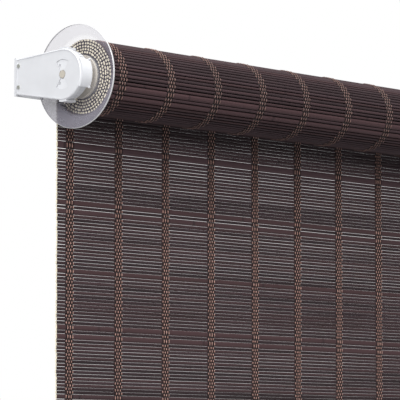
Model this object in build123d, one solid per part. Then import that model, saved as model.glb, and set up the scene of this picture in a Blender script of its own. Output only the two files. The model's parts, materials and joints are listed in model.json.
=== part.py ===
from build123d import *

import os
from math import acos, atan2, cos, degrees, pi, radians, sin

# A bamboo roll up blind on two wall brackets. Millimetres.
# The frame's origin is the middle of the left bracket's wall plate, on the wall.
# +X runs along the roll to the right bracket, +Y points into the wall, +Z is up.
# Each piece is drawn about the roll's axis and the left disc, and then put in place.

# ---- driving dimensions ---------------------------------------------------------------
# woven sheet
sheet_width = 588.0
sheet_thickness = 2.0
lower_height = 62.7         # the part of the sheet that stays flat under the roll
turn_pitch = 2.4            # radial step from one wound turn to the next
roll_radius = 32.0
lift_turns = 3.0            # turns from the shown height to the highest one
park_gap = 20.0             # what still hangs above the lower curtain when it is raised
soft_gap = 0.3              # air round the soft solids

# roller tube and what closes its ends
tube_radius = 19.0
tube_wall = 1.2
tube_overhang = 2.0
strip_thickness = 0.8
strip_half_angle = 14.0
plug_depth = 28.0
plug_flange = 2.0
plug_fit = 0.1
collar_radius = 14.0
hub_radius = 11.0
hub_length = 2.6            # past the disc, under the push-on ring

# clear end discs
disc_radius = 45.0
disc_thickness = 1.6
disc_gap = 8.7              # middle of the disc to the sheet's edge
disc_ring_width = 1.8
disc_edge = 0.3

# brackets
axis_to_wall = 58.0
head_radius = 22.0
arm_top = 18.0              # the arm's edges at the wall, above and below the roll's axis
arm_bottom = 13.0
arm_face = 2.4
arm_depth = 4.0
arm_wall = 1.8
arm_bevel = 0.7
rim_width = 1.3
rim_height = 0.4
arm_to_disc = 17.2          # the arm's outer face to the middle of the disc
tab_thickness = 2.0
tab_lip = 1.2
tab_hook = 1.0
front_tab_half_angle = 31.0
small_tab_half_angle = 10.0
fan_radius = 12.8
fan_half_angle = 33.0
fan_depth = 1.0
fan_slot_width = 1.3
fan_slot_length = 2.6
plate_thickness = 2.4       # wall angle
plate_overlap = 1.1         # how far the wall plate shows past the arm's edges
leg_thickness = 1.5
leg_length = 17.0
wall_hole_radius = 2.3
wall_hole_spacing = 19.0
arm_screw_radius = 0.9
arm_screw_head = 1.7
arm_screw_spacing = 18.5
arm_screw_setback = 5.8     # from the wall

# drum housing
housing_length = 7.6
housing_wall = 1.8
housing_inset = 1.2         # how much smaller than the arm's head
rib_count = 40
rib_height = 0.5
rib_width = 1.1

# spindle, brake and lift spring
spindle_radius = 3.3
spindle_setback = 0.3       # its end, in from the arm's outer face
running_fit = 0.05
pin_clearance = 0.2
brake_core_radius = 7.0
brake_wire = 1.2
brake_turns = 4
seat_radius = 8.5
seat_thickness = 4.0
shaft_radius = 2.4
shaft_length = 200.0
shaft_socket = 12.0
spring_radius = 5.6
spring_wire = 1.5
spring_pitch = 6.0
spring_turns = 24
carrier_length = 16.0
clip_radius = 4.5
clip_thickness = 1.0

# spring-loaded pin at the right end
idle_travel = 12.0
idle_flange_radius = 5.0
idle_flange = 2.0
idle_shoulder = 12.0        # the bore's shoulder, from the middle of the disc
idle_tail_radius = 2.4
idle_tail = 4.5
idle_wire = 0.8
idle_turns = 6
idle_cap = 3.7

# bottom rail
rail_height = 28.0
rail_thickness = 11.0
rail_corner = 3.5
rail_groove = 12.0
groove_fit = 0.1
cap_thickness = 2.5

# ---- worked out from them -------------------------------------------------------------
axis_drop = (arm_top - arm_bottom) / 2
arm_reach = axis_to_wall - plate_thickness
span = sheet_width + 2 * disc_gap
sheet_left = disc_gap
sheet_right = disc_gap + sheet_width
tube_left = sheet_left - tube_overhang
tube_right = sheet_right + tube_overhang
tube_bore = tube_radius - tube_wall
plug_end = tube_left + plug_depth
lift_travel = lift_turns * 2 * pi * (roll_radius - sheet_thickness / 2)
split_drop = lift_travel + park_gap
sheet_drop = split_drop + lower_height      # roll axis to the sheet's lower edge
arm_outside = -arm_to_disc
arm_inside = arm_outside + arm_face
housing_start = arm_outside + arm_depth
housing_end = housing_start + housing_length
housing_radius = head_radius - housing_inset
tab_inner = housing_radius + rib_height + soft_gap
tab_outer = tab_inner + tab_thickness
disc_face = disc_thickness / 2
hub_end = -disc_face - hub_length
sleeve_bore = brake_core_radius + brake_wire + 2 * running_fit
core_start = housing_start + housing_wall
spindle_end = arm_outside + spindle_setback
seat_start = plug_end + soft_gap * 10
seat_end = seat_start + seat_thickness
shaft_start = seat_end - shaft_socket
spring_start = seat_end + spring_wire / 2 + soft_gap
spring_end = spring_start + spring_turns * spring_pitch + spring_wire / 2
carrier_start = spring_end + soft_gap
carrier_end = carrier_start + carrier_length
clip_start = carrier_end + soft_gap
idle_bore = idle_flange_radius + pin_clearance
idle_cap_start = plug_end - idle_cap
rail_top = -sheet_drop + rail_groove
place = Pos(0, -axis_to_wall, -axis_drop)


# ---- shapes that several pieces use ---------------------------------------------------
def rod(radius, start, end):
    """A round bar about the roll's axis, from one X to another."""
    return Plane.YZ.offset(start) * extrude(Circle(radius), end - start)


def ring(outer, inner, start, end):
    return rod(outer, start, end) - rod(inner, start, end)


def block(x, y, z):
    """A box between two X, two Y and two Z."""
    size = (x[1] - x[0], y[1] - y[0], z[1] - z[0])
    return Pos(sum(x) / 2, sum(y) / 2, sum(z) / 2) * Box(*size)


def polar(radius, angle):
    """A point of the YZ plane, by its angle from +Y towards +Z."""
    return radius * cos(radians(angle)), radius * sin(radians(angle))


def fan(outer, inner, middle, half, start, end):
    """A stretch of a ring about the roll's axis, half degrees to each side of middle."""
    a, b, c = middle - half, middle, middle + half
    edges = ThreePointArc(polar(outer, a), polar(outer, b), polar(outer, c))
    edges += Line(polar(outer, c), polar(inner, c))
    edges += ThreePointArc(polar(inner, c), polar(inner, b), polar(inner, a))
    edges += Line(polar(inner, a), polar(outer, a))
    return Plane.YZ.offset(start) * extrude(make_face(edges), end - start)


def coil(radius, wire, pitch, turns, start):
    """A round wire wound about the roll's axis."""
    path = Helix(pitch, pitch * turns, radius)
    section = Plane(path @ 0, z_dir=path % 0) * Circle(wire / 2)
    wound = sweep(section, path=path, is_frenet=True)
    return Pos(start, 0, 0) * Rot(0, 90, 0) * wound


def to_right(piece):
    """The same piece at the right end, in mirror image."""
    return mirror(piece, about=Plane.YZ.offset(span / 2))


# ---- brackets -------------------------------------------------------------------------
def arm_outline(radius, reach, top, bottom):
    """A round head, with straight edges to two corners at the wall."""
    upper = degrees(atan2(top, reach) + acos(radius / (reach**2 + top**2) ** 0.5))
    lower = -degrees(atan2(bottom, reach) + acos(radius / (reach**2 + bottom**2) ** 0.5))
    edges = ThreePointArc(polar(radius, lower), (-radius, 0), polar(radius, upper))
    edges += Line(polar(radius, upper), (reach, top))
    edges += Line((reach, top), (reach, -bottom))
    edges += Line((reach, -bottom), polar(radius, lower))
    return make_face(edges)


def arm_slab(inset, reach, start, end):
    outline = arm_outline(head_radius - inset, reach, arm_top - inset, arm_bottom - inset)
    return Plane.YZ.offset(start) * extrude(outline, end - start)


def screw_places():
    """Where the two small screws go through the arm."""
    middle = (arm_top - arm_bottom) / 2
    reach = axis_to_wall - arm_screw_setback
    return [(reach, middle + side * arm_screw_spacing / 2) for side in (-1, 1)]


def clip_tab(middle, half):
    """A tongue over the drum housing, hooked round its rim."""
    tip = housing_end + soft_gap + tab_hook
    tongue = fan(tab_outer, tab_inner, middle, half, arm_outside + arm_bevel, tip)
    hook = fan(tab_inner + tab_hook, tab_inner - tab_hook, middle, half, tip - tab_hook, tip)
    return tongue + hook


def tab_lips():
    """The thicker corners at the free edge of the front tab."""
    tip = housing_end + soft_gap + tab_hook
    lips = []
    for side in (-1, 1):
        at = 180 + side * (front_tab_half_angle - tab_lip)
        lips.append(fan(tab_outer + tab_lip, tab_inner, at, tab_lip, tip - 2 * tab_lip, tip))
    return lips


def fan_recess():
    """Two shallow fans that meet at the spindle, with a small slot in each."""
    cuts = []
    for side in (-1, 1):
        start, end = arm_outside, arm_outside + fan_depth
        cuts.append(fan(fan_radius, spindle_radius / 2, side * 90, fan_half_angle, start, end))
        slot = block(
            (arm_outside, arm_inside),
            (-fan_slot_width / 2, fan_slot_width / 2),
            (-fan_slot_length / 2, fan_slot_length / 2),
        )
        reach, height = polar(fan_radius * 0.65, side * (90 - fan_half_angle + 9))
        cuts.append(Pos(0, reach, height) * slot)
    return cuts


def arm():
    body = arm_slab(0, arm_reach, arm_outside, housing_start)
    outer_edges = body.faces().sort_by(Axis.X)[0].outer_wire().edges()
    body = chamfer(outer_edges, arm_bevel)
    body -= arm_slab(rim_width, arm_reach - rim_width, arm_outside, arm_outside + rim_height)
    body -= arm_slab(arm_wall, arm_reach + arm_wall, arm_inside, housing_start)
    body += clip_tab(180, front_tab_half_angle)
    body += clip_tab(90, small_tab_half_angle)
    body += clip_tab(-90, small_tab_half_angle)
    for lip in tab_lips():
        body += lip
    for cut in fan_recess():
        body -= cut
    body -= rod(spindle_radius + pin_clearance * 2, arm_outside, arm_inside)
    for reach, height in screw_places():
        body -= Pos(0, reach, height) * rod(arm_screw_radius + plug_fit, arm_outside, arm_inside)
    return body


def wall_angle():
    """A plate on the wall, behind the arm's end, with a leg inside the arm."""
    top, bottom = arm_top + plate_overlap, -arm_bottom - plate_overlap
    half = arm_to_disc - rim_height
    body = block((-half, half), (arm_reach, axis_to_wall), (bottom, top))
    leg_height = (-arm_bottom + arm_wall + soft_gap, arm_top - arm_wall - soft_gap)
    body += block((arm_inside, arm_inside + leg_thickness), (arm_reach - leg_length, arm_reach), leg_height)
    middle = (arm_top - arm_bottom) / 2
    for side in (-1, 1):
        hole = Pos(0, axis_to_wall - plate_thickness / 2, middle + side * wall_hole_spacing / 2)
        body -= hole * Rot(90, 0, 0) * Cylinder(wall_hole_radius, plate_thickness * 2)
    for reach, height in screw_places():
        body -= Pos(0, reach, height) * rod(arm_screw_radius + plug_fit, arm_inside, housing_start)
    return body


def arm_screws():
    screws = []
    for reach, height in screw_places():
        seat = arm_outside + rim_height
        head = rod(arm_screw_head, seat - arm_screw_head / 2, seat)
        shank = rod(arm_screw_radius, seat, arm_inside + leg_thickness)
        screws.append(Pos(0, reach, height) * (head + shank))
    return Compound(children=screws)


def housing():
    """A drum with a ribbed side, open towards the disc."""
    body = rod(housing_radius, housing_start, housing_end)
    body -= rod(housing_radius - housing_wall, core_start, housing_end)
    body -= rod(spindle_radius + pin_clearance, housing_start, core_start)
    half = degrees(rib_width / housing_radius / 2)
    for number in range(rib_count):
        angle = number * 360 / rib_count
        body += fan(
            housing_radius + rib_height,
            housing_radius - rib_height,
            angle,
            half,
            housing_start,
            housing_end - tab_hook,
        )
    return body


# ---- end discs and plugs --------------------------------------------------------------
def disc():
    body = ring(disc_radius, hub_radius + plug_fit, -disc_face, disc_face)
    rims = body.edges().filter_by(GeomType.CIRCLE).sort_by(SortBy.RADIUS)[-2:]
    return chamfer(rims, disc_edge)


def disc_ring():
    start = -disc_face - disc_ring_width
    return ring(collar_radius, hub_radius, start, -disc_face)


def plug_body():
    body = rod(tube_bore - plug_fit, tube_left, plug_end)
    body += rod(tube_radius, tube_left - plug_flange, tube_left)
    body += rod(collar_radius, disc_face, tube_left - plug_flange)
    return body + rod(hub_radius, hub_end, disc_face)


def left_plug():
    """The driven plug: its sleeve turns round the brake spring in the housing."""
    sleeve_start = core_start + soft_gap * 2
    body = plug_body() + rod(hub_radius, sleeve_start, hub_end)
    body -= rod(sleeve_bore, sleeve_start, hub_end)
    return body - rod(spindle_radius + running_fit, sleeve_start, plug_end)


def right_plug():
    """The idle plug: a stepped bore for the pin and its spring."""
    body = plug_body() - rod(spindle_radius + running_fit, hub_end, plug_end)
    return body - rod(idle_bore, idle_shoulder, plug_end)


# ---- brake and lift spring ------------------------------------------------------------
def spindle():
    body = rod(spindle_radius, spindle_end, seat_start)
    body += rod(seat_radius, seat_start, seat_end)
    return body - rod(shaft_radius, shaft_start, seat_end)


def brake_core():
    return ring(brake_core_radius, spindle_radius, core_start, hub_end - soft_gap)


def brake_spring():
    radius = brake_core_radius + running_fit + brake_wire / 2
    pitch = brake_wire + running_fit
    length = pitch * brake_turns + brake_wire
    start = hub_end - soft_gap - length + brake_wire / 2
    return coil(radius, brake_wire, pitch, brake_turns, start)


def spring_shaft():
    return rod(shaft_radius, shaft_start, shaft_start + shaft_length)


def torsion_spring():
    return coil(spring_radius, spring_wire, spring_pitch, spring_turns, spring_start)


def spring_carrier():
    return ring(tube_bore - plug_fit, shaft_radius + running_fit, carrier_start, carrier_end)


def shaft_clip():
    return ring(clip_radius, shaft_radius, clip_start, clip_start + clip_thickness)


# ---- idle pin -------------------------------------------------------------------------
def idle_pin():
    body = rod(spindle_radius, spindle_end, idle_shoulder)
    body += rod(idle_flange_radius, idle_shoulder, idle_shoulder + idle_flange)
    tail_start = idle_shoulder + idle_flange
    return body + rod(idle_tail_radius, tail_start, tail_start + idle_tail)


def idle_spring():
    radius = (idle_tail_radius + idle_bore) / 2
    start = idle_shoulder + idle_flange + idle_wire / 2 + soft_gap
    length = idle_cap_start - start - idle_wire / 2 - soft_gap
    return coil(radius, idle_wire, length / idle_turns, idle_turns, start)


def idle_spring_cap():
    return rod(idle_bore, idle_cap_start, plug_end)


# ---- roll -----------------------------------------------------------------------------
def roller_tube():
    return ring(tube_radius, tube_bore, tube_left, tube_right)


def sheet_strip():
    outer = tube_radius + strip_thickness
    return fan(outer, tube_radius, 90, strip_half_angle, sheet_left, sheet_right)


def wound_roll():
    """All the wound turns. Two half circles make the outer turn's spiral, and its step is
    at the back, where the sheet hangs down."""
    back = roll_radius
    front = -(roll_radius - turn_pitch / 2)
    under = roll_radius - turn_pitch
    edges = ThreePointArc((back, 0), ((back + front) / 2, (back - front) / 2), (front, 0))
    edges += ThreePointArc((front, 0), ((under + front) / 2, -(under - front) / 2), (under, 0))
    edges += Line((under, 0), (back, 0))
    turns = Plane.YZ.offset(sheet_left) * extrude(make_face(edges), sheet_width)
    return turns - rod(tube_radius, sheet_left, sheet_right) - sheet_strip()


# ---- hanging sheet and bottom rail ----------------------------------------------------
def curtain(top, bottom):
    depth = (roll_radius - sheet_thickness, roll_radius)
    return block((sheet_left, sheet_right), depth, (bottom, top))


def rail_section(start, end):
    middle = roll_radius - sheet_thickness / 2
    half = rail_thickness / 2
    body = block((start, end), (middle - half, middle + half), (rail_top - rail_height, rail_top))
    return fillet(body.edges().filter_by(Axis.X), rail_corner)


def bottom_rail():
    low = roll_radius - sheet_thickness - groove_fit
    high = roll_radius + groove_fit
    groove = block((sheet_left, sheet_right), (low, high), (-sheet_drop, rail_top))
    return rail_section(sheet_left, sheet_right) - groove


def rail_cap():
    return rail_section(sheet_left - cap_thickness, sheet_left)


# ---- every node, in its place ---------------------------------------------------------
nodes = {}
for name, make in (
    ("arm", arm),
    ("wall_angle", wall_angle),
    ("arm_screws", arm_screws),
    ("housing", housing),
    ("disc", disc),
    ("disc_ring", disc_ring),
    ("rail_cap", rail_cap),
):
    piece = make()
    nodes["left_" + name] = piece
    nodes["right_" + name] = to_right(piece)

nodes["left_plug"] = left_plug()
nodes["right_plug"] = to_right(right_plug())
nodes["spindle"] = spindle()
nodes["brake_core"] = brake_core()
nodes["brake_spring"] = brake_spring()
nodes["spring_shaft"] = spring_shaft()
nodes["torsion_spring"] = torsion_spring()
nodes["spring_carrier"] = spring_carrier()
nodes["shaft_clip"] = shaft_clip()
nodes["idle_pin"] = to_right(idle_pin())
nodes["idle_spring"] = to_right(idle_spring())
nodes["idle_spring_cap"] = to_right(idle_spring_cap())
nodes["roller_tube"] = roller_tube()
nodes["sheet_strip"] = sheet_strip()
nodes["wound_roll"] = wound_roll()
nodes["upper_curtain"] = curtain(-soft_gap, -split_drop)
nodes["lower_curtain"] = curtain(-split_drop - soft_gap, -sheet_drop)
nodes["bottom_rail"] = bottom_rail()

os.makedirs("parts", exist_ok=True)
for name, piece in nodes.items():
    export_step(place * piece, f"parts/{name}.step")

print("roll axis at Y, Z:", -axis_to_wall, -axis_drop)
print("lift travel:", round(lift_travel, 2), "spring ends at", round(spring_end, 2))
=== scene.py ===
import json
from math import cos, pi, radians, sin

import bpy
from bpy.props import FloatProperty, FloatVectorProperty, IntProperty, PointerProperty
from mathutils import Matrix, Vector


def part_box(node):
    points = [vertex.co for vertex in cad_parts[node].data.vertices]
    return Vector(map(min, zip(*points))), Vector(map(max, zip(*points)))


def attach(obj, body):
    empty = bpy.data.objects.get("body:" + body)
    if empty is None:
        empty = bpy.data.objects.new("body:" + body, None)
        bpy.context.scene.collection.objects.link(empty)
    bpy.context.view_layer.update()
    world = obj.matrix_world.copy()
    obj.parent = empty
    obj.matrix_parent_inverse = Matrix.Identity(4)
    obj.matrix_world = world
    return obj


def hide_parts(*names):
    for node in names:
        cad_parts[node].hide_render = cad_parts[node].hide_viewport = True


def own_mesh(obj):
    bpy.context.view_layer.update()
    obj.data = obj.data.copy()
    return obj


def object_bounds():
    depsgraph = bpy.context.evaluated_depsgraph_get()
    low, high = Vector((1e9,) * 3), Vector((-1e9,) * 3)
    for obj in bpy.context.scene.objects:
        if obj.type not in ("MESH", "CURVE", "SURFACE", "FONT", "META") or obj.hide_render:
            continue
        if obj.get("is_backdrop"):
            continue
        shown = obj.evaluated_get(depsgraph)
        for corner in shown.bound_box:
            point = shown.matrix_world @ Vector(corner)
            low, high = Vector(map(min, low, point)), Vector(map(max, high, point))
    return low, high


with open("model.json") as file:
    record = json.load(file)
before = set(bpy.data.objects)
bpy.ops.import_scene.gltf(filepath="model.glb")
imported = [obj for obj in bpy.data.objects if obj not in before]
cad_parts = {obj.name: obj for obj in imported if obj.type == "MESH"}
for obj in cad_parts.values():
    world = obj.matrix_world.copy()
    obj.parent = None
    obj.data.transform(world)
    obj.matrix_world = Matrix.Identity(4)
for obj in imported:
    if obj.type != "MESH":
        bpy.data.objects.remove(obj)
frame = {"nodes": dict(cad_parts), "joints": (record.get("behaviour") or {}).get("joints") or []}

bl_info = {
    "name": "Bamboo roll up blind",
    "version": (1, 0, 0),
    "blender": (4, 5, 0),
    "location": "View3D > Sidebar > Blind",
    "description": "Weaves the slats and threads of a bamboo blind and finishes its fittings",
    "category": "Object",
}

# ---- places that come from the frame, in metres ------------------------------------------
ROLL_JOINT = next(j for j in frame["joints"] if j["name"] == "roller_spin")
LIFT_JOINT = next(j for j in frame["joints"] if j["name"] == "curtain_raise")
AXIS_Y, AXIS_Z = ROLL_JOINT["pos_m"][1:]
UPPER_LOW, UPPER_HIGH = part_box("upper_curtain")
LOWER_LOW, LOWER_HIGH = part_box("lower_curtain")
TUBE_LOW, TUBE_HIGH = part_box("roller_tube")
DISC_LOW, DISC_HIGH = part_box("left_disc")
ARM_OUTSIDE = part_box("left_arm")[0].x
MIDDLE_X = (ARM_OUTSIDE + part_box("right_arm")[1].x) / 2
SHEET_LEFT = UPPER_LOW.x
SHEET_WIDTH = UPPER_HIGH.x - UPPER_LOW.x
SHEET_PLANE = (UPPER_LOW.y + UPPER_HIGH.y) / 2
SHEET_MIDDLE = SHEET_PLANE - AXIS_Y      # radius of the outer turn's middle
UPPER_DROP = AXIS_Z - UPPER_LOW.z
SHEET_DROP = AXIS_Z - LOWER_LOW.z
DISC_RADIUS = (DISC_HIGH.z - DISC_LOW.z) / 2
TUBE_RADIUS = (TUBE_HIGH.z - TUBE_LOW.z) / 2
RIM_HEIGHT = 0.0004         # the raised edge of an arm's face
RECESS_DEPTH = 0.0006       # the two fans round the spindle's end
RECESS_RADIUS = 0.0131

# ---- the weave's rule --------------------------------------------------------------------
CYCLE = 35                  # slats before the pattern of wide ones repeats
WIDE_SLATS = {0: 0.7, 16: 1.0, 18: 1.0}     # wide slats of a cycle, and their share of the wide extra
FIRST_EDGE = 0.0521         # roll axis to the upper edge of slat 0
BROAD_EXTRA = 0.0021        # slat 0 alone is broader still
STRANDS = 6                 # threads side by side in a row
RINGS = 4                   # thread rings for each slat it passes
STRAND_SIDES = 5
SLAT_SIDES = 8
FLAT_SHARE = cos(pi / SLAT_SIDES)   # a slat's width across its flats, of the width across its corners
INNER_SEGMENTS = 6          # points along a slat that the outer turn hides
BARE_TURNS = 0.15           # left free over the tube

# ---- where a change over the surface starts and ends; drop is measured down from the axis --
JOINT_SPACING = 0.31        # between two joints of a slat's bamboo
JOINT_BAND = 0.0006, 0.0022         # away from a joint
STITCHED = 0.0042, 0.0056           # away from the middle of a row of thread, for the painted shade along the row
SHADE_END = 0.034, 0.045            # drop, for the roll's shadow painted on the sheet
LIGHT_END = 0.06, 0.1               # drop, for the painted light on the stretch under the roll, which gives way to the darker sheet below
SNUG_END = 0.034, 0.06              # drop, for the tight weave behind the roll
TIGHT_START = 0.07, 0.2             # drop, for the tighter weave lower down
FREE_ENDS = 0.476, 0.5              # share of a slat's length from its middle
ROLL_THREAD_SHADE = 0.05, 0.15           # X along the roll, over which the painted shade on the roll's threads deepens
DISC_CLEAR = 0.0325, 0.0365         # away from the middle of a disc's clearer part
DISC_CLEAR_SHIFT = 0.0075           # that middle is so far in front of the axis
DISC_LOW_HAZE = 0.002, -0.014       # above the axis, for the painted shade that darkens and thickens the lower haze

# ---- the camera, which stands off from the left disc's middle ----------------------------
CAMERA_LENS = 265.2         # mm
CAMERA_YAW = radians(48.49)
CAMERA_PITCH = radians(5.34)        # looks up
CAMERA_DISTANCE = 2.5224
CAMERA_RIGHT = 0.10617
CAMERA_DOWN = 0.10654
CAMERA_RISE = 0.0005        # of the point it stands off from, above the axis

# ---- soft lights, from the roll's middle, and their sizes --------------------------------
KEY_PLACE = Vector((-2.4, -1.3, 1.2))
KEY_SIZE = 2.0
FILL_PLACE = Vector((-0.4, -1.5, 2.4))
FILL_SIZE = 1.6
FLOOR_REACH = 14.0          # middle of the floor to its edge


# ---- node building -----------------------------------------------------------------------
class Value:
    """A node socket that arithmetic works on."""

    def __init__(self, graph, socket):
        self.graph = graph
        self.socket = socket

    def other(self, name):
        """Another output of the same node."""
        return Value(self.graph, self.socket.node.outputs[name])

    def __add__(self, term):
        return self.graph.maths("ADD", self, term)

    def __radd__(self, term):
        return self.graph.maths("ADD", term, self)

    def __sub__(self, term):
        return self.graph.maths("SUBTRACT", self, term)

    def __rsub__(self, term):
        return self.graph.maths("SUBTRACT", term, self)

    def __mul__(self, term):
        return self.graph.maths("MULTIPLY", self, term)

    def __rmul__(self, term):
        return self.graph.maths("MULTIPLY", term, self)

    def __truediv__(self, term):
        return self.graph.maths("DIVIDE", self, term)

    def __pow__(self, term):
        return self.graph.maths("POWER", self, term)

    def __mod__(self, term):
        return self.graph.maths("FLOORED_MODULO", self, term)

    def __gt__(self, term):
        return self.graph.maths("GREATER_THAN", self, term)

    def __lt__(self, term):
        return self.graph.maths("LESS_THAN", self, term)

    def __abs__(self):
        return self.graph.maths("ABSOLUTE", self)


class Graph:
    """Adds nodes to a tree, of shaders or of geometry."""

    def __init__(self, tree):
        self.tree = tree

    def add(self, kind, settings=None, inputs=None, out=0):
        node = self.tree.nodes.new(kind)
        for name, setting in (settings or {}).items():
            setattr(node, name, setting)
        for name, given in (inputs or {}).items():
            if isinstance(given, Value):
                self.tree.links.new(given.socket, node.inputs[name])
            else:
                node.inputs[name].default_value = given
        return Value(self, node.outputs[out])

    def maths(self, operation, *terms):
        return self.add("ShaderNodeMath", {"operation": operation}, dict(enumerate(terms)))

    def combine(self, x, y, z):
        return self.add("ShaderNodeCombineXYZ", None, {0: x, 1: y, 2: z})

    def separate(self, vector):
        x = self.add("ShaderNodeSeparateXYZ", None, {0: vector})
        return x, x.other("Y"), x.other("Z")

    def noise(self, vector, scale, detail=2.0, roughness=0.5):
        inputs = {"Vector": vector, "Scale": scale, "Detail": detail, "Roughness": roughness}
        return self.add("ShaderNodeTexNoise", None, inputs)

    def chance(self, number, seed):
        """A random value from 0 to 1 for each whole number."""
        vector = self.combine(number, seed, 0.5)
        return self.add("ShaderNodeTexWhiteNoise", {"noise_dimensions": "3D"}, {"Vector": vector})

    def place(self):
        """The point's place on its object."""
        return self.add("ShaderNodeTexCoord", out="Object")

    def attribute(self, name):
        return self.add("ShaderNodeAttribute", {"attribute_name": name}, out="Fac")

    def mix(self, factor, a, b):
        """A colour between two others."""
        return self.add("ShaderNodeMix", {"data_type": "RGBA"}, {0: factor, 6: a, 7: b}, out=2)

    def smooth(self, value, low, high):
        """0 below low, 1 above high, eased between."""
        settings = {"interpolation_type": "SMOOTHSTEP"}
        return self.add("ShaderNodeMapRange", settings, {"Value": value, "From Min": low, "From Max": high})


def wide_share(number):
    """Share of the wide extra that a slat has, 0 for a thin one."""
    place = number % CYCLE
    return sum((abs(place - spot) < 0.5) * share for spot, share in WIDE_SLATS.items())


# ---- materials ---------------------------------------------------------------------------
def new_material(name, **constants):
    """A Principled material. Constants are set on the shader's own sockets."""
    material = bpy.data.materials.new(name)
    material.use_nodes = True
    graph = Graph(material.node_tree)
    shader = material.node_tree.nodes["Principled BSDF"]
    for socket, number in constants.items():
        shader.inputs[socket.replace("_", " ").title().replace("Ior", "IOR")].default_value = number
    return material, graph, shader


def drive(graph, shader, **links):
    """Links what varies over the surface to the shader."""
    for socket, value in links.items():
        graph.tree.links.new(value.socket, shader.inputs[socket.replace("_", " ").title()])


def bump(graph, height, distance, strength=1.0):
    return graph.add("ShaderNodeBump", None, {"Height": height, "Distance": distance, "Strength": strength})


def opaque(colour):
    return (*colour, 1.0)


def shade(colour, factor):
    return (*[channel * factor for channel in colour], 1.0)


def stained_slat(look, weave):
    """Dark stain over split bamboo: streaks along the slat, joints, painted shade between the threads and
    behind the roll, and painted light just below the roll.
    """
    material, graph, shader = new_material("stained_slat", specular_ior_level=0.28)
    x, y, z = graph.separate(graph.place())
    slat = graph.attribute("slat")
    drop = graph.attribute("drop")
    tone = graph.chance(slat, 3.0)
    warmth = graph.chance(slat, 8.0)
    streaks = graph.noise(graph.combine(x * 14.0, y * 900.0, z * 900.0), 1.0, 4.0, 0.65)
    fibres = graph.noise(graph.combine(x * 60.0, y * 4000.0, z * 4000.0), 1.0, 2.0)
    patches = graph.noise(graph.combine(x * 9.0, slat * 0.37, 1.0), 1.0, 2.0)
    joint = abs((x + graph.chance(slat, 5.0) * JOINT_SPACING) % JOINT_SPACING - JOINT_SPACING / 2)
    band = 1.0 - graph.smooth(joint, *JOINT_BAND)
    half = weave.row_spacing / 2
    from_row = abs((x - SHEET_LEFT - first_row(weave) + half) % weave.row_spacing - half)
    painted_thread_shade = 1.0 - graph.smooth(from_row, *STITCHED)
    depth = streaks * 0.5 + tone * 0.24 + patches * 0.35 + wide_share(slat) * 0.2 - 0.07
    dark = shade(look.stain_colour, 0.42)
    light = shade(look.stain_colour, 1.85)
    colour = graph.mix(graph.smooth(depth, 0.15, 0.95), dark, light)
    colour = graph.mix(graph.smooth(warmth, 0.35, 1.0) * 0.4, colour, shade(look.stain_warm, 1.0))
    colour = graph.mix(wide_share(slat) * 0.45, colour, shade(look.stain_warm, 0.95))
    hanging = graph.smooth(drop, 0.0, 0.002)
    # The hanging sheet is made darker lower down; just below the roll it gets painted light.
    darker = hanging * graph.smooth(drop, *LIGHT_END)
    painted_light_under_roll = hanging - darker
    # Painted shadow of the roll on the top of the hanging sheet.
    painted_roll_shadow = hanging - hanging * graph.smooth(drop, *SHADE_END)
    colour = graph.mix(darker * 0.22, colour, shade(look.stain_colour, 0.05))
    colour = graph.mix(painted_light_under_roll * 0.45, colour, shade(look.stain_colour, 1.9))
    colour = graph.mix(band * 0.55, colour, shade(look.stain_colour, 0.35))
    # Painted shade on the slats along each row of thread, between its beads.
    colour = graph.mix(painted_thread_shade * 0.88, colour, shade(look.stain_warm, 0.13))
    colour = graph.mix(painted_roll_shadow * 0.55, colour, shade(look.stain_colour, 0.05))
    relief = streaks * 0.6 + fibres * 0.4 + band * 0.8
    drive(
        graph,
        shader,
        base_color=colour,
        roughness=0.46 + streaks * 0.3,
        normal=bump(graph, relief, 0.00012, 0.8),
    )
    return material


def raw_end(look):
    """The cut end of a slat: pale, with darker fibre bundles and a stained skin."""
    material, graph, shader = new_material("raw_end")
    x, y, z = graph.separate(graph.place())
    dots = graph.noise(graph.combine(x * 500.0, y * 5200.0, z * 5200.0), 1.0, 1.0)
    clouds = graph.noise(graph.combine(x, y * 700.0, z * 700.0), 1.0, 1.0)
    colour = graph.mix(graph.smooth(dots, 0.56, 0.76), opaque(look.raw_colour), shade(look.raw_colour, 0.5))
    colour = graph.mix(graph.smooth(clouds, 0.35, 0.7) * 0.4, colour, shade(look.raw_colour, 0.75))
    drive(graph, shader, base_color=colour, roughness=0.7 + dots * 0.15, normal=bump(graph, dots, 0.0001))
    return material


def copper_thread(look):
    """Waxed thread of twisted plies, with painted shade on the roll's turns and where it dips between
    slats.
    """
    material, graph, shader = new_material("copper_thread", sheen_weight=0.25, sheen_roughness=0.4)
    x, y, z = graph.separate(graph.place())
    strand = graph.attribute("strand")
    twist = graph.maths("SINE", x * 2600.0 + z * 2100.0 + y * 1400.0)
    fluff = graph.noise(graph.combine(x * 3000.0, y * 3000.0, z * 900.0), 1.0, 3.0, 0.6)
    age = graph.noise(graph.combine(strand * 3.1, y * 20.0, z * 20.0), 1.0, 1.0)
    dip = graph.attribute("dip")
    drop = graph.attribute("drop")
    depth = twist * 0.12 + fluff * 0.8 + age * 0.4 - 0.15
    colour = graph.mix(
        graph.smooth(depth, 0.1, 0.95), shade(look.thread_colour, 0.45), shade(look.thread_colour, 1.45)
    )
    wound = 1.0 - graph.smooth(drop, 0.0, 0.002)
    # Painted shade: the roll's threads are darkened, more so towards the right end.
    painted_roll_thread_shade = wound * (0.38 + graph.smooth(x, *ROLL_THREAD_SHADE) * 0.24)
    colour = graph.mix(painted_roll_thread_shade, colour, shade(look.stain_warm, 0.65))
    # Painted shade where the thread dips between two slats.
    colour = graph.mix(graph.smooth(dip, 0.3, 0.7) * 0.93, colour, shade(look.stain_warm, 0.22))
    drive(
        graph,
        shader,
        base_color=colour,
        roughness=0.5 + fluff * 0.3,
        normal=bump(graph, twist * 0.6 + fluff, 0.00012),
    )
    return material


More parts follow.
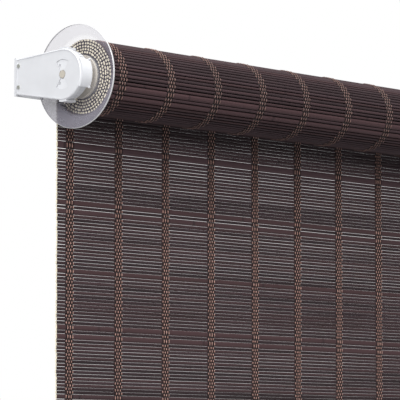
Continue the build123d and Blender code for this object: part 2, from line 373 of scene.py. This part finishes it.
def moulded_plastic(name, colour, roughness, grain, recess=None):
    """A white moulding: fine spark-eroded skin, faint flow mottling, and painted shade on a recess's walls.
    """
    material, graph, shader = new_material(name, coat_weight=0.15, coat_roughness=0.25, ior=1.48)
    place = graph.place()
    skin = graph.noise(place, grain, 3.0, 0.6)
    flow = graph.noise(place, 55.0, 2.0)
    tint = graph.mix(graph.smooth(flow, 0.35, 0.7), opaque(colour), shade(colour, 0.955))
    if recess:
        x, y, z = graph.separate(place)
        face, floor, radius = recess
        near = ((y - AXIS_Y) ** 2.0 + (z - AXIS_Z) ** 2.0) ** 0.5 < radius
        depth = (abs(x - MIDDLE_X) - face) / (floor - face)
        wall = graph.smooth(depth, 0.03, 0.3) * graph.smooth(depth, 0.98, 0.85) * near
        inside = graph.smooth(depth, 0.9, 0.98) * near
        # A recess's floor is made a little lighter, and its walls get painted shade.
        tint = graph.mix(inside, tint, shade(colour, 1.07))
        tint = graph.mix(wall * 0.75, tint, shade(colour, 0.22))
    drive(
        graph,
        shader,
        base_color=tint,
        roughness=roughness + skin * 0.16,
        normal=bump(graph, skin, 0.00004, 0.6),
    )
    return material


def hazy_plastic(look, name, side):
    """Clear sheet with a milky haze, fine wiping scratches, a bright polished rim, and painted shade that
    darkens and thickens the haze low down.
    """
    material, graph, shader = new_material(name, ior=1.49, specular_ior_level=0.5)
    x, y, z = graph.separate(graph.place())
    radius = ((y - AXIS_Y) ** 2.0 + (z - AXIS_Z) ** 2.0) ** 0.5
    rim = graph.smooth(radius, DISC_RADIUS - 0.0005, DISC_RADIUS - 0.0002)
    haze = graph.noise(graph.combine(x, y * 45.0, z * 45.0), 1.0, 3.0)
    wipes = graph.noise(graph.combine(side, y * 900.0 + z * 500.0, z * 60.0), 1.0, 2.0)
    clearer = ((y - AXIS_Y + DISC_CLEAR_SHIFT) ** 2.0 + (z - AXIS_Z) ** 2.0) ** 0.5
    edge = graph.smooth(clearer, *DISC_CLEAR)
    low = graph.smooth(z - AXIS_Z, *DISC_LOW_HAZE) * edge
    colour = graph.mix(haze * 0.3, opaque(look.haze_colour), shade(look.haze_colour, 0.8))
    # Painted shade: below the axis and outside the clearer middle, the haze is darker and thicker.
    colour = graph.mix(low * 0.6, colour, shade(look.haze_colour, 0.5))
    colour = graph.mix(rim, colour, opaque(look.rim_colour))
    veil = look.haze * (0.3 + edge * 0.55 + haze * 0.3) * (1.0 + low * 1.6)
    drive(
        graph,
        shader,
        base_color=colour,
        roughness=0.12 + wipes * 0.14,
        alpha=veil * (1.0 - rim) + rim * 0.9,
        normal=bump(graph, wipes, 0.00001, 0.5),
    )
    return material


def metal(name, colour, roughness, stretch):
    """Drawn or turned metal: fine lines along X."""
    material, graph, shader = new_material(name)
    x, y, z = graph.separate(graph.place())
    lines = graph.noise(graph.combine(x * stretch, y * 2500.0, z * 2500.0), 1.0, 3.0, 0.6)
    stains = graph.noise(graph.combine(x * 30.0, y * 90.0, z * 90.0), 1.0, 2.0)
    tint = graph.mix(graph.smooth(stains, 0.45, 0.75) * 0.5, opaque(colour), shade(colour, 0.7))
    drive(
        graph,
        shader,
        base_color=tint,
        metallic=0.95 + lines * 0.05,
        roughness=roughness + lines * 0.22,
        normal=bump(graph, lines, 0.00003),
    )
    return material


def powder_coat(name, colour):
    material, graph, shader = new_material(name, ior=1.5)
    place = graph.place()
    pimples = graph.noise(place, 1400.0, 2.0)
    wear = graph.smooth(graph.noise(place, 160.0, 4.0, 0.7), 0.66, 0.78)
    tint = graph.mix(wear * 0.3, opaque(colour), shade(colour, 0.72))
    drive(
        graph, shader, base_color=tint, roughness=0.36 + pimples * 0.2, normal=bump(graph, pimples, 0.00005)
    )
    return material


def stained_rail(look):
    """Stained solid wood for the bottom rail, with long open grain."""
    material, graph, shader = new_material("stained_rail", coat_weight=0.25, coat_roughness=0.3)
    x, y, z = graph.separate(graph.place())
    wander = graph.noise(graph.combine(x * 4.0, y * 30.0, z * 30.0), 1.0, 2.0)
    grain = graph.noise(graph.combine(x * 9.0, y * 420.0, z * 420.0 + wander * 6.0), 1.0, 5.0, 0.6)
    pores = graph.noise(graph.combine(x * 90.0, y * 3000.0, z * 3000.0), 1.0, 1.0)
    colour = graph.mix(
        graph.smooth(grain, 0.3, 0.72), shade(look.stain_colour, 0.45), shade(look.stain_colour, 1.7)
    )
    colour = graph.mix(graph.smooth(pores, 0.62, 0.7) * 0.6, colour, shade(look.stain_colour, 0.3))
    drive(
        graph,
        shader,
        base_color=colour,
        roughness=0.36 + grain * 0.25,
        normal=bump(graph, grain - pores * 0.5, 0.0001),
    )
    return material


def pale_floor(look):
    material, graph, shader = new_material("pale_floor")
    place = graph.place()
    cloud = graph.noise(place, 1.3, 2.0)
    colour = graph.mix(cloud, opaque(look.floor_colour), shade(look.floor_colour, 0.985))
    drive(graph, shader, base_color=colour, roughness=0.8 + cloud * 0.1)
    return material


# ---- geometry nodes of the weave ---------------------------------------------------------
FLOATS = {
    "Start": "roll axis to the upper edge of slat 0",
    "Thin Pitch": "room of a thin slat",
    "Wide Extra": "how much more room a wide slat has",
    "Slat Gap": "mean opening between two slats",
    "Slat Thickness": "through the sheet",
    "Bow": "how far a slat wanders off its line",
    "Left": "X of the sheet's left edge",
    "Length": "of a slat",
    "Sheet Plane": "Y of the hanging sheet",
    "Axis Y": "of the roll",
    "Axis Z": "of the roll",
    "Roll Middle": "radius of the outer turn",
    "Turn Pitch": "from one turn to the next",
    "Slack": "how much a turn stands off in front",
    "Row Spacing": "between two rows of thread",
    "First Row": "sheet's left edge to the first row",
    "Thread Spacing": "between two threads of a row",
    "Thread Radius": "of one thread",
}
WHOLES = {"First": 0, "Count": 1, "Segments": 16, "Rows": 10, "Seed": 4}


def new_tree(name):
    """An empty geometry tree that has every input of the weave."""
    tree = bpy.data.node_groups.new(name, "GeometryNodeTree")
    tree.interface.new_socket("Geometry", in_out="OUTPUT", socket_type="NodeSocketGeometry")
    for label, words in FLOATS.items():
        socket = tree.interface.new_socket(label, in_out="INPUT", socket_type="NodeSocketFloat")
        socket.description = words
    for label, number in WHOLES.items():
        socket = tree.interface.new_socket(label, in_out="INPUT", socket_type="NodeSocketInt")
        socket.default_value = number
    graph = Graph(tree)
    given = graph.add("NodeGroupInput")
    return graph, given.other


def slat_room(graph, given, number):
    """Upper edge and room of a slat, from its whole number."""
    place = number % CYCLE
    before = sum((place > spot + 0.5) * share for spot, share in WIDE_SLATS.items())
    extra = given("Wide Extra")
    period = given("Thin Pitch") * CYCLE + extra * sum(WIDE_SLATS.values())
    edge = given("Start") + period * graph.maths("FLOOR", number / CYCLE)
    edge = edge + given("Thin Pitch") * place + extra * before + (number > 0.5) * BROAD_EXTRA
    room = given("Thin Pitch") + extra * wide_share(number) + (abs(number) < 0.5) * BROAD_EXTRA
    return edge, room


def lay(graph, given, wound, x, along, out):
    """A point of the flat sheet in its place: along the sheet from the tangent, and out of it."""
    if not wound:
        return graph.combine(x, given("Sheet Plane") + out, given("Axis Z") - along)
    middle = given("Roll Middle")
    step = given("Turn Pitch") / (2 * pi)
    inside = middle * middle + step * along * 2.0
    angle = (middle - inside ** 0.5) / step
    turn = angle / (2 * pi)
    part = graph.maths("FRACT", turn)
    share = (x - given("Left")) / given("Length")
    slack = given("Slack") * (1.6 - share * 1.2) * graph.maths("SINE", part * pi)
    slack = slack * (1.0 - turn * 0.2)
    radius = middle - given("Turn Pitch") * (turn - part + part ** 4.0) + slack + out
    y = given("Axis Y") + radius * graph.maths("COSINE", angle)
    return graph.combine(x, y, given("Axis Z") + radius * graph.maths("SINE", angle))


def point_line(graph, count):
    return graph.add("GeometryNodeMeshLine", None, {"Count": count, "Offset": (0, 0, 0)})


def store(graph, geometry, name, value):
    """Keeps a number at each point, for the materials or a later step."""
    inputs = {"Geometry": geometry, "Name": name, "Value": value}
    return graph.add("GeometryNodeStoreNamedAttribute", {"data_type": "FLOAT"}, inputs)


def sweep(graph, curve, section):
    inputs = {"Curve": curve, "Profile Curve": section, "Fill Caps": True}
    return graph.add("GeometryNodeCurveToMesh", None, inputs)


def named(graph, name):
    return graph.add("GeometryNodeInputNamedAttribute", {"data_type": "FLOAT"}, {"Name": name})


def close_tree(graph, geometry):
    output = graph.tree.nodes.new("NodeGroupOutput")
    graph.tree.links.new(geometry.socket, output.inputs["Geometry"])
    return graph.tree


def slat_tree(name, wound, stain, raw):
    """Split bamboo slats side by side, each a little off its line and off its width."""
    graph, given = new_tree(name)
    line = graph.add("GeometryNodeCurvePrimitiveLine", None, {"Start": (0, 0, 0), "End": (1, 0, 0)})
    line = graph.add("GeometryNodeResampleCurve", None, {"Curve": line, "Count": given("Segments")})
    ring = graph.add("GeometryNodeCurvePrimitiveCircle", None, {"Resolution": SLAT_SIDES, "Radius": 0.5})
    turned = {"Geometry": ring, "Rotation": (0, 0, pi / SLAT_SIDES)}
    ring = graph.add("GeometryNodeTransform", None, turned)
    stick = sweep(graph, line, ring)
    index = graph.add("GeometryNodeInputIndex")
    points = store(graph, point_line(graph, given("Count")), "slat", index + given("First"))
    sticks = graph.add("GeometryNodeInstanceOnPoints", None, {"Points": points, "Instance": stick})
    sticks = graph.add("GeometryNodeRealizeInstances", None, {"Geometry": sticks})

    share, across, through = graph.separate(graph.add("GeometryNodeInputPosition"))
    number = named(graph, "slat")
    seed = given("Seed")
    edge, room = slat_room(graph, given, number)
    sway = graph.noise(graph.combine(share * 5.0, number * 7.3, seed), 1.0, 2.0) - 0.5
    drift = graph.noise(graph.combine(share * 2.0, number * 0.04, seed + 31.0), 1.0, 1.0) - 0.5
    swell = graph.noise(graph.combine(share * 9.0, number * 5.1, seed + 9.0), 1.0, 1.0) - 0.5
    lift = graph.noise(graph.combine(share * 6.0, number * 3.7, seed + 17.0), 1.0, 1.0) - 0.5
    gap = given("Slat Gap") * (0.65 + graph.chance(number, seed + 2.0) * 0.7)
    if not wound:
        sticks = store(graph, sticks, "drop", edge)
        tight = graph.smooth(edge, *TIGHT_START) * (0.44 + share * 0.2)
        gap = gap * (0.4 + graph.smooth(edge, *SNUG_END) * 0.6) * (1.12 - tight)
        free = graph.smooth(abs(share - 0.5), *FREE_ENDS) * graph.chance(number, seed + 11.0)
        gap = gap * (1.0 + free * 1.4)
    width = (room - gap) * (1.0 + swell * 0.025) / FLAT_SHARE
    thick = given("Slat Thickness") * (0.9 + graph.chance(number, seed + 5.0) * 0.2) / FLAT_SHARE
    trim = (graph.chance(number, seed + 7.0) - 0.5) * 0.0008
    along = edge + room * 0.5 + across * width + sway * given("Bow") + drift * 0.0009
    out = through * thick + lift * 0.0003
    x = given("Left") + share * given("Length") + trim * (1.0 - share * 2.0)
    moved = {"Geometry": sticks, "Position": lay(graph, given, wound, x, along, out)}
    laid = graph.add("GeometryNodeSetPosition", None, moved)
    laid = graph.add("GeometryNodeSetShadeSmooth", None, {"Geometry": laid, "Shade Smooth": False})
    laid = graph.add("GeometryNodeSetMaterial", None, {"Geometry": laid, "Material": stain})
    facing = graph.separate(graph.add("GeometryNodeInputNormal"))[0]
    ends = {"Geometry": laid, "Selection": abs(facing) > 0.8, "Material": raw}
    return close_tree(graph, graph.add("GeometryNodeSetMaterial", None, ends))


def thread_tree(name, wound, thread):
    """Rows of threads that pass over one slat and under the next, neighbours the other way."""
    graph, given = new_tree(name)
    line = graph.add("GeometryNodeCurvePrimitiveLine")
    line = graph.add(
        "GeometryNodeResampleCurve", None, {"Curve": line, "Count": given("Count") * RINGS + 1.0}
    )
    index = graph.add("GeometryNodeInputIndex")
    points = store(graph, point_line(graph, given("Rows") * STRANDS), "strand", index)
    strands = graph.add("GeometryNodeInstanceOnPoints", None, {"Points": points, "Instance": line})
    strands = graph.add("GeometryNodeRealizeInstances", None, {"Geometry": strands})

    strand = named(graph, "strand")
    step = graph.add("GeometryNodeSplineParameter", out="Index")
    reach = given("First") - 0.5 + step / RINGS
    number = graph.maths("FLOOR", reach + 0.5001)
    local = reach - number
    edge, room = slat_room(graph, given, number)
    side = (number + strand) % 2.0 * 2.0 - 1.0
    depth = given("Slat Thickness") * 0.5 + given("Thread Radius") * 0.45
    out = side * depth * (1.0 - abs(local * 2.0) ** 3.0)
    row = graph.maths("FLOOR", (strand + 0.5) / STRANDS)
    place = strand - row * STRANDS - (STRANDS - 1) / 2
    drift = graph.noise(graph.combine(strand * 4.7, reach * 0.11, given("Seed")), 1.0, 1.0) - 0.5
    x = given("Left") + given("First Row") + row * given("Row Spacing")
    x = x + place * given("Thread Spacing") + drift * 0.0011
    along = edge + room * (local + 0.5)
    strands = store(graph, strands, "dip", abs(local * 2.0))
    if not wound:
        strands = store(graph, strands, "drop", along)
    moved = {"Geometry": strands, "Position": lay(graph, given, wound, x, along, out)}
    laid = graph.add("GeometryNodeSetPosition", None, moved)
    section = {"Resolution": STRAND_SIDES, "Radius": given("Thread Radius")}
    tubes = sweep(graph, laid, graph.add("GeometryNodeCurvePrimitiveCircle", None, section))
    tubes = graph.add("GeometryNodeSetShadeSmooth", None, {"Geometry": tubes, "Shade Smooth": True})
    tubes = graph.add("GeometryNodeSetMaterial", None, {"Geometry": tubes, "Material": thread})
    return close_tree(graph, tubes)


def grow(name, tree, values):
    """Runs a geometry tree once and keeps its plain mesh."""
    piece = bpy.data.objects.new(name, bpy.data.meshes.new(name + "_empty"))
    bpy.context.scene.collection.objects.link(piece)
    modifier = piece.modifiers.new("Grow", "NODES")
    modifier.node_group = tree
    for item in tree.interface.items_tree:
        if item.in_out == "INPUT" and item.name in values:
            modifier[item.identifier] = values[item.name]
    depsgraph = bpy.context.evaluated_depsgraph_get()
    evaluated = piece.evaluated_get(depsgraph)
    mesh = bpy.data.meshes.new_from_object(evaluated, preserve_all_data_layers=True, depsgraph=depsgraph)
    piece.modifiers.remove(modifier)
    mesh.name = name
    piece.data = mesh
    return piece


# ---- settings ----------------------------------------------------------------------------
class BlindWeave(bpy.types.PropertyGroup):
    thin_pitch: FloatProperty(
        name="Thin pitch", description="Room of a thin slat", default=0.00293, unit="LENGTH", precision=5
    )
    wide_extra: FloatProperty(
        name="Wide extra", description="How much wider a wide slat is", default=0.0021, unit="LENGTH"
    )
    slat_gap: FloatProperty(
        name="Slat gap", description="Mean gap between two hanging slats", default=0.00024, unit="LENGTH"
    )
    roll_gap: FloatProperty(
        name="Roll gap", description="Mean gap between two wound slats", default=0.00088, unit="LENGTH"
    )
    slat_thickness: FloatProperty(
        name="Slat thickness", description="Through the sheet", default=0.0017, unit="LENGTH"
    )
    bow: FloatProperty(
        name="Bow", description="How far a slat wanders off its line", default=0.00011, unit="LENGTH"
    )
    rows: IntProperty(name="Rows", description="Rows of thread across the sheet", default=10, min=2)
    row_spacing: FloatProperty(
        name="Row spacing", description="Between two rows of thread", default=0.0618, unit="LENGTH"
    )
    thread_spacing: FloatProperty(
        name="Thread spacing", description="Between two threads of a row", default=0.0016, unit="LENGTH"
    )
    thread_radius: FloatProperty(
        name="Thread radius", description="Radius of one thread", default=0.0005, unit="LENGTH"
    )
    turn_pitch: FloatProperty(
        name="Turn pitch", description="Step from one turn to the next", default=0.0024, unit="LENGTH"
    )
    slack: FloatProperty(
        name="Slack", description="How much a turn stands off in front", default=0.0008, unit="LENGTH"
    )
    segments: IntProperty(name="Segments", description="Points along a slat", default=22, min=2)
    seed: IntProperty(name="Seed", description="Chooses how the slats vary", default=4)


class BlindFinish(bpy.types.PropertyGroup):
    stain_colour: FloatVectorProperty(
        name="Stain", description="Stain of the slats", subtype="COLOR", default=(0.0425, 0.0248, 0.0284)
    )
    # Also the tone of the painted shade on the slats and threads.
    stain_warm: FloatVectorProperty(
        name="Warm stain", description="Redder slats", subtype="COLOR", default=(0.078, 0.036, 0.036)
    )
    raw_colour: FloatVectorProperty(
        name="Raw bamboo", description="Cut ends of the slats", subtype="COLOR", default=(0.93, 0.85, 0.66)
    )
    thread_colour: FloatVectorProperty(
        name="Thread", description="Copper brown thread", subtype="COLOR", default=(0.405, 0.226, 0.184)
    )
    plastic_colour: FloatVectorProperty(
        name="Plastic", description="White mouldings", subtype="COLOR", default=(0.695, 0.705, 0.73)
    )
    nylon_colour: FloatVectorProperty(
        name="Nylon", description="Spindle and idle pin", subtype="COLOR", default=(0.53, 0.49, 0.42)
    )
    haze_colour: FloatVectorProperty(
        name="Haze", description="Milky veil of the end discs", subtype="COLOR", default=(0.47, 0.45, 0.525)
    )
    rim_colour: FloatVectorProperty(
        name="Rim", description="Polished rim of the end discs", subtype="COLOR", default=(0.68, 0.68, 0.69)
    )
    haze: FloatProperty(name="Haze amount", description="0 clear, 1 solid", default=0.2, min=0, max=1)


class BlindStage(bpy.types.PropertyGroup):
    floor_colour: FloatVectorProperty(
        name="Floor", description="Pale floor", subtype="COLOR", default=(0.45, 0.45, 0.46)
    )
    floor_gap: FloatProperty(
        name="Floor gap", description="Floor below the bottom rail", default=0.25, unit="LENGTH"
    )
    ambient: FloatProperty(name="Ambient", description="Light from all round", default=0.66, min=0)
    key: FloatProperty(name="Key", description="Power of the soft light on the left", default=66.0, min=0)
    fill: FloatProperty(name="Fill", description="Power of the soft light in front", default=64.0, min=0)


def first_row(weave):
    """Sheet's left edge to the middle of its first row of thread."""
    return (SHEET_WIDTH - (weave.rows - 1) * weave.row_spacing) / 2


def slat_middle(weave, number):
    """Along the sheet from the tangent, as the geometry nodes work it out."""
    cycle, place = divmod(number, CYCLE)
    period = CYCLE * weave.thin_pitch + sum(WIDE_SLATS.values()) * weave.wide_extra
    before = sum(share for spot, share in WIDE_SLATS.items() if place > spot) * weave.wide_extra
    room = weave.thin_pitch + weave.wide_extra * WIDE_SLATS.get(place, 0.0) + BROAD_EXTRA * (number == 0)
    edge = FIRST_EDGE + cycle * period + place * weave.thin_pitch + before + BROAD_EXTRA * (number > 0)
    return edge + room / 2


def slats_between(weave, low, high):
    """First number and count of the slats whose middles lie in a stretch of the sheet."""
    numbers = [n for n in range(-CYCLE * 12, CYCLE * 12) if low <= slat_middle(weave, n) < high]
    return numbers[0], len(numbers)


def wound_length(weave, turns):
    """Length of sheet in that many outer turns."""
    angle = 2 * pi * turns
    return SHEET_MIDDLE * angle - weave.turn_pitch * angle * angle / (4 * pi)


def weave_values(weave, gap, first, count, segments=None):
    return {
        "Start": FIRST_EDGE,
        "Thin Pitch": weave.thin_pitch,
        "Wide Extra": weave.wide_extra,
        "Slat Gap": gap,
        "Slat Thickness": weave.slat_thickness,
        "Bow": weave.bow,
        "Left": SHEET_LEFT,
        "Length": SHEET_WIDTH,
        "Sheet Plane": SHEET_PLANE,
        "Axis Y": AXIS_Y,
        "Axis Z": AXIS_Z,
        "Roll Middle": SHEET_MIDDLE,
        "Turn Pitch": weave.turn_pitch,
        "Slack": weave.slack,
        "Row Spacing": weave.row_spacing,
        "First Row": first_row(weave),
        "Thread Spacing": weave.thread_spacing,
        "Thread Radius": weave.thread_radius,
        "First": first,
        "Count": count,
        "Segments": segments or weave.segments,
        "Rows": weave.rows,
        "Seed": weave.seed,
    }


def material_of(name, make):
    """A finish that several operators share, made once."""
    return bpy.data.materials.get(name) or make()


def weave_materials(look, weave):
    stain = material_of("stained_slat", lambda: stained_slat(look, weave))
    raw = material_of("raw_end", lambda: raw_end(look))
    thread = material_of("copper_thread", lambda: copper_thread(look))
    return stain, raw, thread


def finish_nodes(material, slot, *nodes):
    """Gives CAD nodes a finish."""
    for node in nodes:
        piece = frame["nodes"][node]
        piece.data.materials.clear()
        piece.data.materials.append(material)


# ---- one operator for each piece or group of pieces --------------------------------------
class BLIND_OT_roll(bpy.types.Operator):
    """Winds the rolled up turns of the sheet on the tube"""

    bl_idname = "blind.roll"
    bl_label = "Wound roll"

    def execute(self, context):
        weave, look = context.scene.blind_weave, context.scene.blind_finish
        stain, raw, thread = weave_materials(look, weave)
        turns = (SHEET_MIDDLE - TUBE_RADIUS) / weave.turn_pitch - BARE_TURNS
        tree = slat_tree("wound_slats", True, stain, raw)
        outer_end = -wound_length(weave, 1.0)
        first, count = slats_between(weave, outer_end, 0.0)
        gap = weave.roll_gap
        values = weave_values(weave, gap, first, count)
        outer = grow("roll_outer_slats", tree, values)
        hidden = slats_between(weave, -wound_length(weave, turns), outer_end)
        inner = grow("roll_inner_slats", tree, weave_values(weave, gap, *hidden, INNER_SEGMENTS))
        stitches = grow("roll_threads", thread_tree("wound_threads", True, thread), values)
        for piece in (outer, inner, stitches):
            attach(piece, "roller")
        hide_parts("wound_roll")
        return {"FINISHED"}


class BLIND_OT_upper_sheet(bpy.types.Operator):
    """Weaves the hanging sheet down to where it stays flat"""

    bl_idname = "blind.upper_sheet"
    bl_label = "Hanging sheet"

    def execute(self, context):
        weave, look = context.scene.blind_weave, context.scene.blind_finish
        stain, raw, thread = weave_materials(look, weave)
        first, count = slats_between(weave, 0.0, UPPER_DROP)
        tree = slat_tree("hanging_slats", False, stain, raw)
        gap = weave.slat_gap
        slats = grow("upper_slats", tree, weave_values(weave, gap, first, count))
        pieces = [slats]
        strands = thread_tree("hanging_threads", False, thread)
        for row in range(weave.rows):
            values = weave_values(weave, gap, first, count)
            values["Rows"] = 1
            values["First Row"] += row * weave.row_spacing
            values["Seed"] += row
            pieces.append(grow(f"upper_thread_row_{row + 1}", strands, values))
        travel = LIFT_JOINT["range_m"][1]
        for piece in pieces:
            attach(piece, "root")
            1 - travel / UPPER_DROP
            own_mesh(piece)
        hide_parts("upper_curtain")
        return {"FINISHED"}


class BLIND_OT_lower_sheet(bpy.types.Operator):
    """Weaves the last stretch of the sheet, above the bottom rail"""

    bl_idname = "blind.lower_sheet"
    bl_label = "Lower sheet"

    def execute(self, context):
        weave, look = context.scene.blind_weave, context.scene.blind_finish
        stain, raw, thread = weave_materials(look, weave)
        first, count = slats_between(weave, UPPER_DROP, SHEET_DROP)
        values = weave_values(weave, weave.slat_gap, first, count)
        slats = grow("lower_slats", bpy.data.node_groups["hanging_slats"], values)
        threads = grow("lower_threads", bpy.data.node_groups["hanging_threads"], values)
        for piece in (slats, threads):
            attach(piece, "curtain_lift")
        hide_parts("lower_curtain")
        return {"FINISHED"}


class BLIND_OT_brackets(bpy.types.Operator):
    """Finishes both wall brackets with their housings and screws"""

    bl_idname = "blind.brackets"
    bl_label = "Brackets"

    def execute(self, context):
        look = context.scene.blind_finish
        face = MIDDLE_X - ARM_OUTSIDE - RIM_HEIGHT
        recess = (face, face - RECESS_DEPTH, RECESS_RADIUS)
        white = moulded_plastic("white_moulding", look.plastic_colour, 0.3, 900.0, recess)
        # The drum's plastic is a little darker than the white moulding; part of that is painted shade.
        drum = moulded_plastic("drum_moulding", shade(look.plastic_colour, 0.9)[:3], 0.36, 1200.0)
        coat = powder_coat("white_coat", look.plastic_colour)
        zinc = metal("zinc", (0.66, 0.67, 0.62), 0.4, 300.0)
        finish_nodes(white, "white_plastic", "left_arm", "right_arm")
        finish_nodes(drum, "housing_plastic", "left_housing", "right_housing")
        finish_nodes(coat, "white_steel", "left_wall_angle", "right_wall_angle")
        finish_nodes(zinc, "screw_steel", "left_arm_screws", "right_arm_screws")
        return {"FINISHED"}


class BLIND_OT_end_discs(bpy.types.Operator):
    """Finishes the clear discs, their rings and the end plugs"""

    bl_idname = "blind.end_discs"
    bl_label = "End discs"

    def execute(self, context):
        look = context.scene.blind_finish
        for side, name in enumerate(("left_disc", "right_disc")):
            finish_nodes(hazy_plastic(look, name + "_clear", side * 3.0), "clear_plastic", name)
        plug = moulded_plastic("plug_moulding", (0.66, 0.62, 0.55), 0.4, 800.0)
        names = ("left_disc_ring", "right_disc_ring", "left_plug", "right_plug")
        finish_nodes(plug, "housing_plastic", *names)
        return {"FINISHED"}


class BLIND_OT_roller_parts(bpy.types.Operator):
    """Finishes the tube, spindle, springs and idle pin"""

    bl_idname = "blind.roller_parts"
    bl_label = "Roller parts"

    def execute(self, context):
        look = context.scene.blind_finish
        nylon = moulded_plastic("nylon", look.nylon_colour, 0.4, 700.0)
        names = ("spindle", "idle_pin", "brake_core", "spring_carrier", "idle_spring_cap")
        finish_nodes(nylon, "nylon", *names)
        wire = metal("spring_wire", (0.36, 0.36, 0.37), 0.25, 200.0)
        names = ("torsion_spring", "brake_spring", "idle_spring", "spring_shaft", "shaft_clip")
        finish_nodes(wire, "spring_steel", *names)
        aluminium = metal("mill_aluminium", (0.82, 0.82, 0.82), 0.42, 20.0)
        finish_nodes(aluminium, "tube_aluminium", "roller_tube")
        strip = moulded_plastic("dark_moulding", (0.035, 0.024, 0.021), 0.42, 900.0)
        finish_nodes(strip, "cap_plastic", "sheet_strip", "left_rail_cap", "right_rail_cap")
        return {"FINISHED"}


class BLIND_OT_bottom_rail(bpy.types.Operator):
    """Finishes the wooden rail at the sheet's lower edge"""

    bl_idname = "blind.bottom_rail"
    bl_label = "Bottom rail"

    def execute(self, context):
        finish_nodes(stained_rail(context.scene.blind_finish), "rail_wood", "bottom_rail")
        return {"FINISHED"}


def aim(place, target):
    """A matrix that puts a light at a place, shining at a target."""
    turned = (Vector(target) - Vector(place)).to_track_quat("-Z", "Y")
    return Matrix.Translation(place) @ turned.to_matrix().to_4x4()


def soft_light(name, place, target, size, power):
    data = bpy.data.lights.new(name, "AREA")
    data.shape = "DISK"
    data.size = size
    data.energy = power
    light = bpy.data.objects.new(name, data)
    light.matrix_world = aim(place, target)
    bpy.context.scene.collection.objects.link(light)


def white_world(ambient):
    """White where it is seen, and a softer light from all round on the object."""
    world = bpy.data.worlds.new("studio")
    bpy.context.scene.world = world
    world.use_nodes = True
    graph = Graph(world.node_tree)
    world.node_tree.nodes.clear()
    seen = graph.add("ShaderNodeLightPath", out="Is Camera Ray")
    up = graph.separate(graph.add("ShaderNodeTexCoord", out="Generated"))[2]
    glow = graph.mix(graph.smooth(up, -0.5, 0.8), (0.12, 0.12, 0.13, 1.0), (1.0, 1.0, 1.0, 1.0))
    lighting = graph.add("ShaderNodeBackground", None, {"Color": glow, "Strength": ambient})
    white = graph.add("ShaderNodeBackground", None, {"Color": (1, 1, 1, 1), "Strength": 1.0})
    both = graph.add("ShaderNodeMixShader", None, {0: seen, 1: lighting, 2: white})
    output = world.node_tree.nodes.new("ShaderNodeOutputWorld")
    world.node_tree.links.new(both.socket, output.inputs["Surface"])


class BLIND_OT_stage(bpy.types.Operator):
    """Lays the floor and sets up the light and the camera"""

    bl_idname = "blind.stage"
    bl_label = "Stage"

    def execute(self, context):
        look = context.scene.blind_stage
        low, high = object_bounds()
        middle = (low + high) / 2
        floor = bpy.data.meshes.new("floor")
        signs = ((-1, -1), (1, -1), (1, 1), (-1, 1))
        level = low.z - look.floor_gap
        corners = [(x * FLOOR_REACH, y * FLOOR_REACH, level) for x, y in signs]
        floor.from_pydata(corners, [], [(0, 1, 2, 3)])
        floor.materials.append(pale_floor(look))
        ground = bpy.data.objects.new("floor", floor)
        context.scene.collection.objects.link(ground)
        ground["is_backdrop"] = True
        white_world(look.ambient)
        roll = Vector((middle.x, AXIS_Y, AXIS_Z))
        soft_light("key", roll + KEY_PLACE, roll, KEY_SIZE, look.key)
        soft_light("fill", roll + FILL_PLACE, roll, FILL_SIZE, look.fill)
        self.place_camera(context)
        context.scene.view_settings.view_transform = "Standard"
        return {"FINISHED"}

    def place_camera(self, context):
        """Below the roll and off to its left, through a long lens."""
        data = bpy.data.cameras.new("camera")
        data.lens = CAMERA_LENS
        camera = bpy.data.objects.new("camera", data)
        level = cos(CAMERA_PITCH)
        forward = Vector((sin(CAMERA_YAW) * level, cos(CAMERA_YAW) * level, sin(CAMERA_PITCH)))
        right = Vector((cos(CAMERA_YAW), -sin(CAMERA_YAW), 0.0))
        up = right.cross(forward)
        disc_middle = Vector(((DISC_LOW.x + DISC_HIGH.x) / 2, AXIS_Y, AXIS_Z + CAMERA_RISE))
        place = disc_middle - forward * CAMERA_DISTANCE + right * CAMERA_RIGHT - up * CAMERA_DOWN
        turned = Matrix((right, up, -forward)).transposed().to_4x4()
        camera.matrix_world = Matrix.Translation(place) @ turned
        context.scene.collection.objects.link(camera)
        context.scene.camera = camera


class BLIND_PT_panel(bpy.types.Panel):
    """Lists the steps that make the blind"""

    bl_idname = "BLIND_PT_panel"
    bl_label = "Bamboo blind"
    bl_space_type = "VIEW_3D"
    bl_region_type = "UI"
    bl_category = "Blind"

    def draw(self, context):
        for step in STEPS:
            self.layout.operator(step.bl_idname)
        for group in (context.scene.blind_weave, context.scene.blind_finish, context.scene.blind_stage):
            for name in group.__annotations__:
                self.layout.prop(group, name)


STEPS = (
    BLIND_OT_roll,
    BLIND_OT_upper_sheet,
    BLIND_OT_lower_sheet,
    BLIND_OT_brackets,
    BLIND_OT_end_discs,
    BLIND_OT_roller_parts,
    BLIND_OT_bottom_rail,
    BLIND_OT_stage,
)
GROUPS = {"blind_weave": BlindWeave, "blind_finish": BlindFinish, "blind_stage": BlindStage}


def register():
    for group in GROUPS.values():
        bpy.utils.register_class(group)
    for step in STEPS:
        bpy.utils.register_class(step)
    bpy.utils.register_class(BLIND_PT_panel)
    for name, group in GROUPS.items():
        setattr(bpy.types.Scene, name, PointerProperty(type=group))


def unregister():
    for name in GROUPS:
        delattr(bpy.types.Scene, name)
    bpy.utils.unregister_class(BLIND_PT_panel)
    for step in reversed(STEPS):
        bpy.utils.unregister_class(step)
    for group in GROUPS.values():
        bpy.utils.unregister_class(group)


def main():
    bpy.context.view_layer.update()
    register()
    for step in STEPS:
        family, name = step.bl_idname.split(".")
        getattr(getattr(bpy.ops, family), name)()


if __name__ == "__main__":
    main()
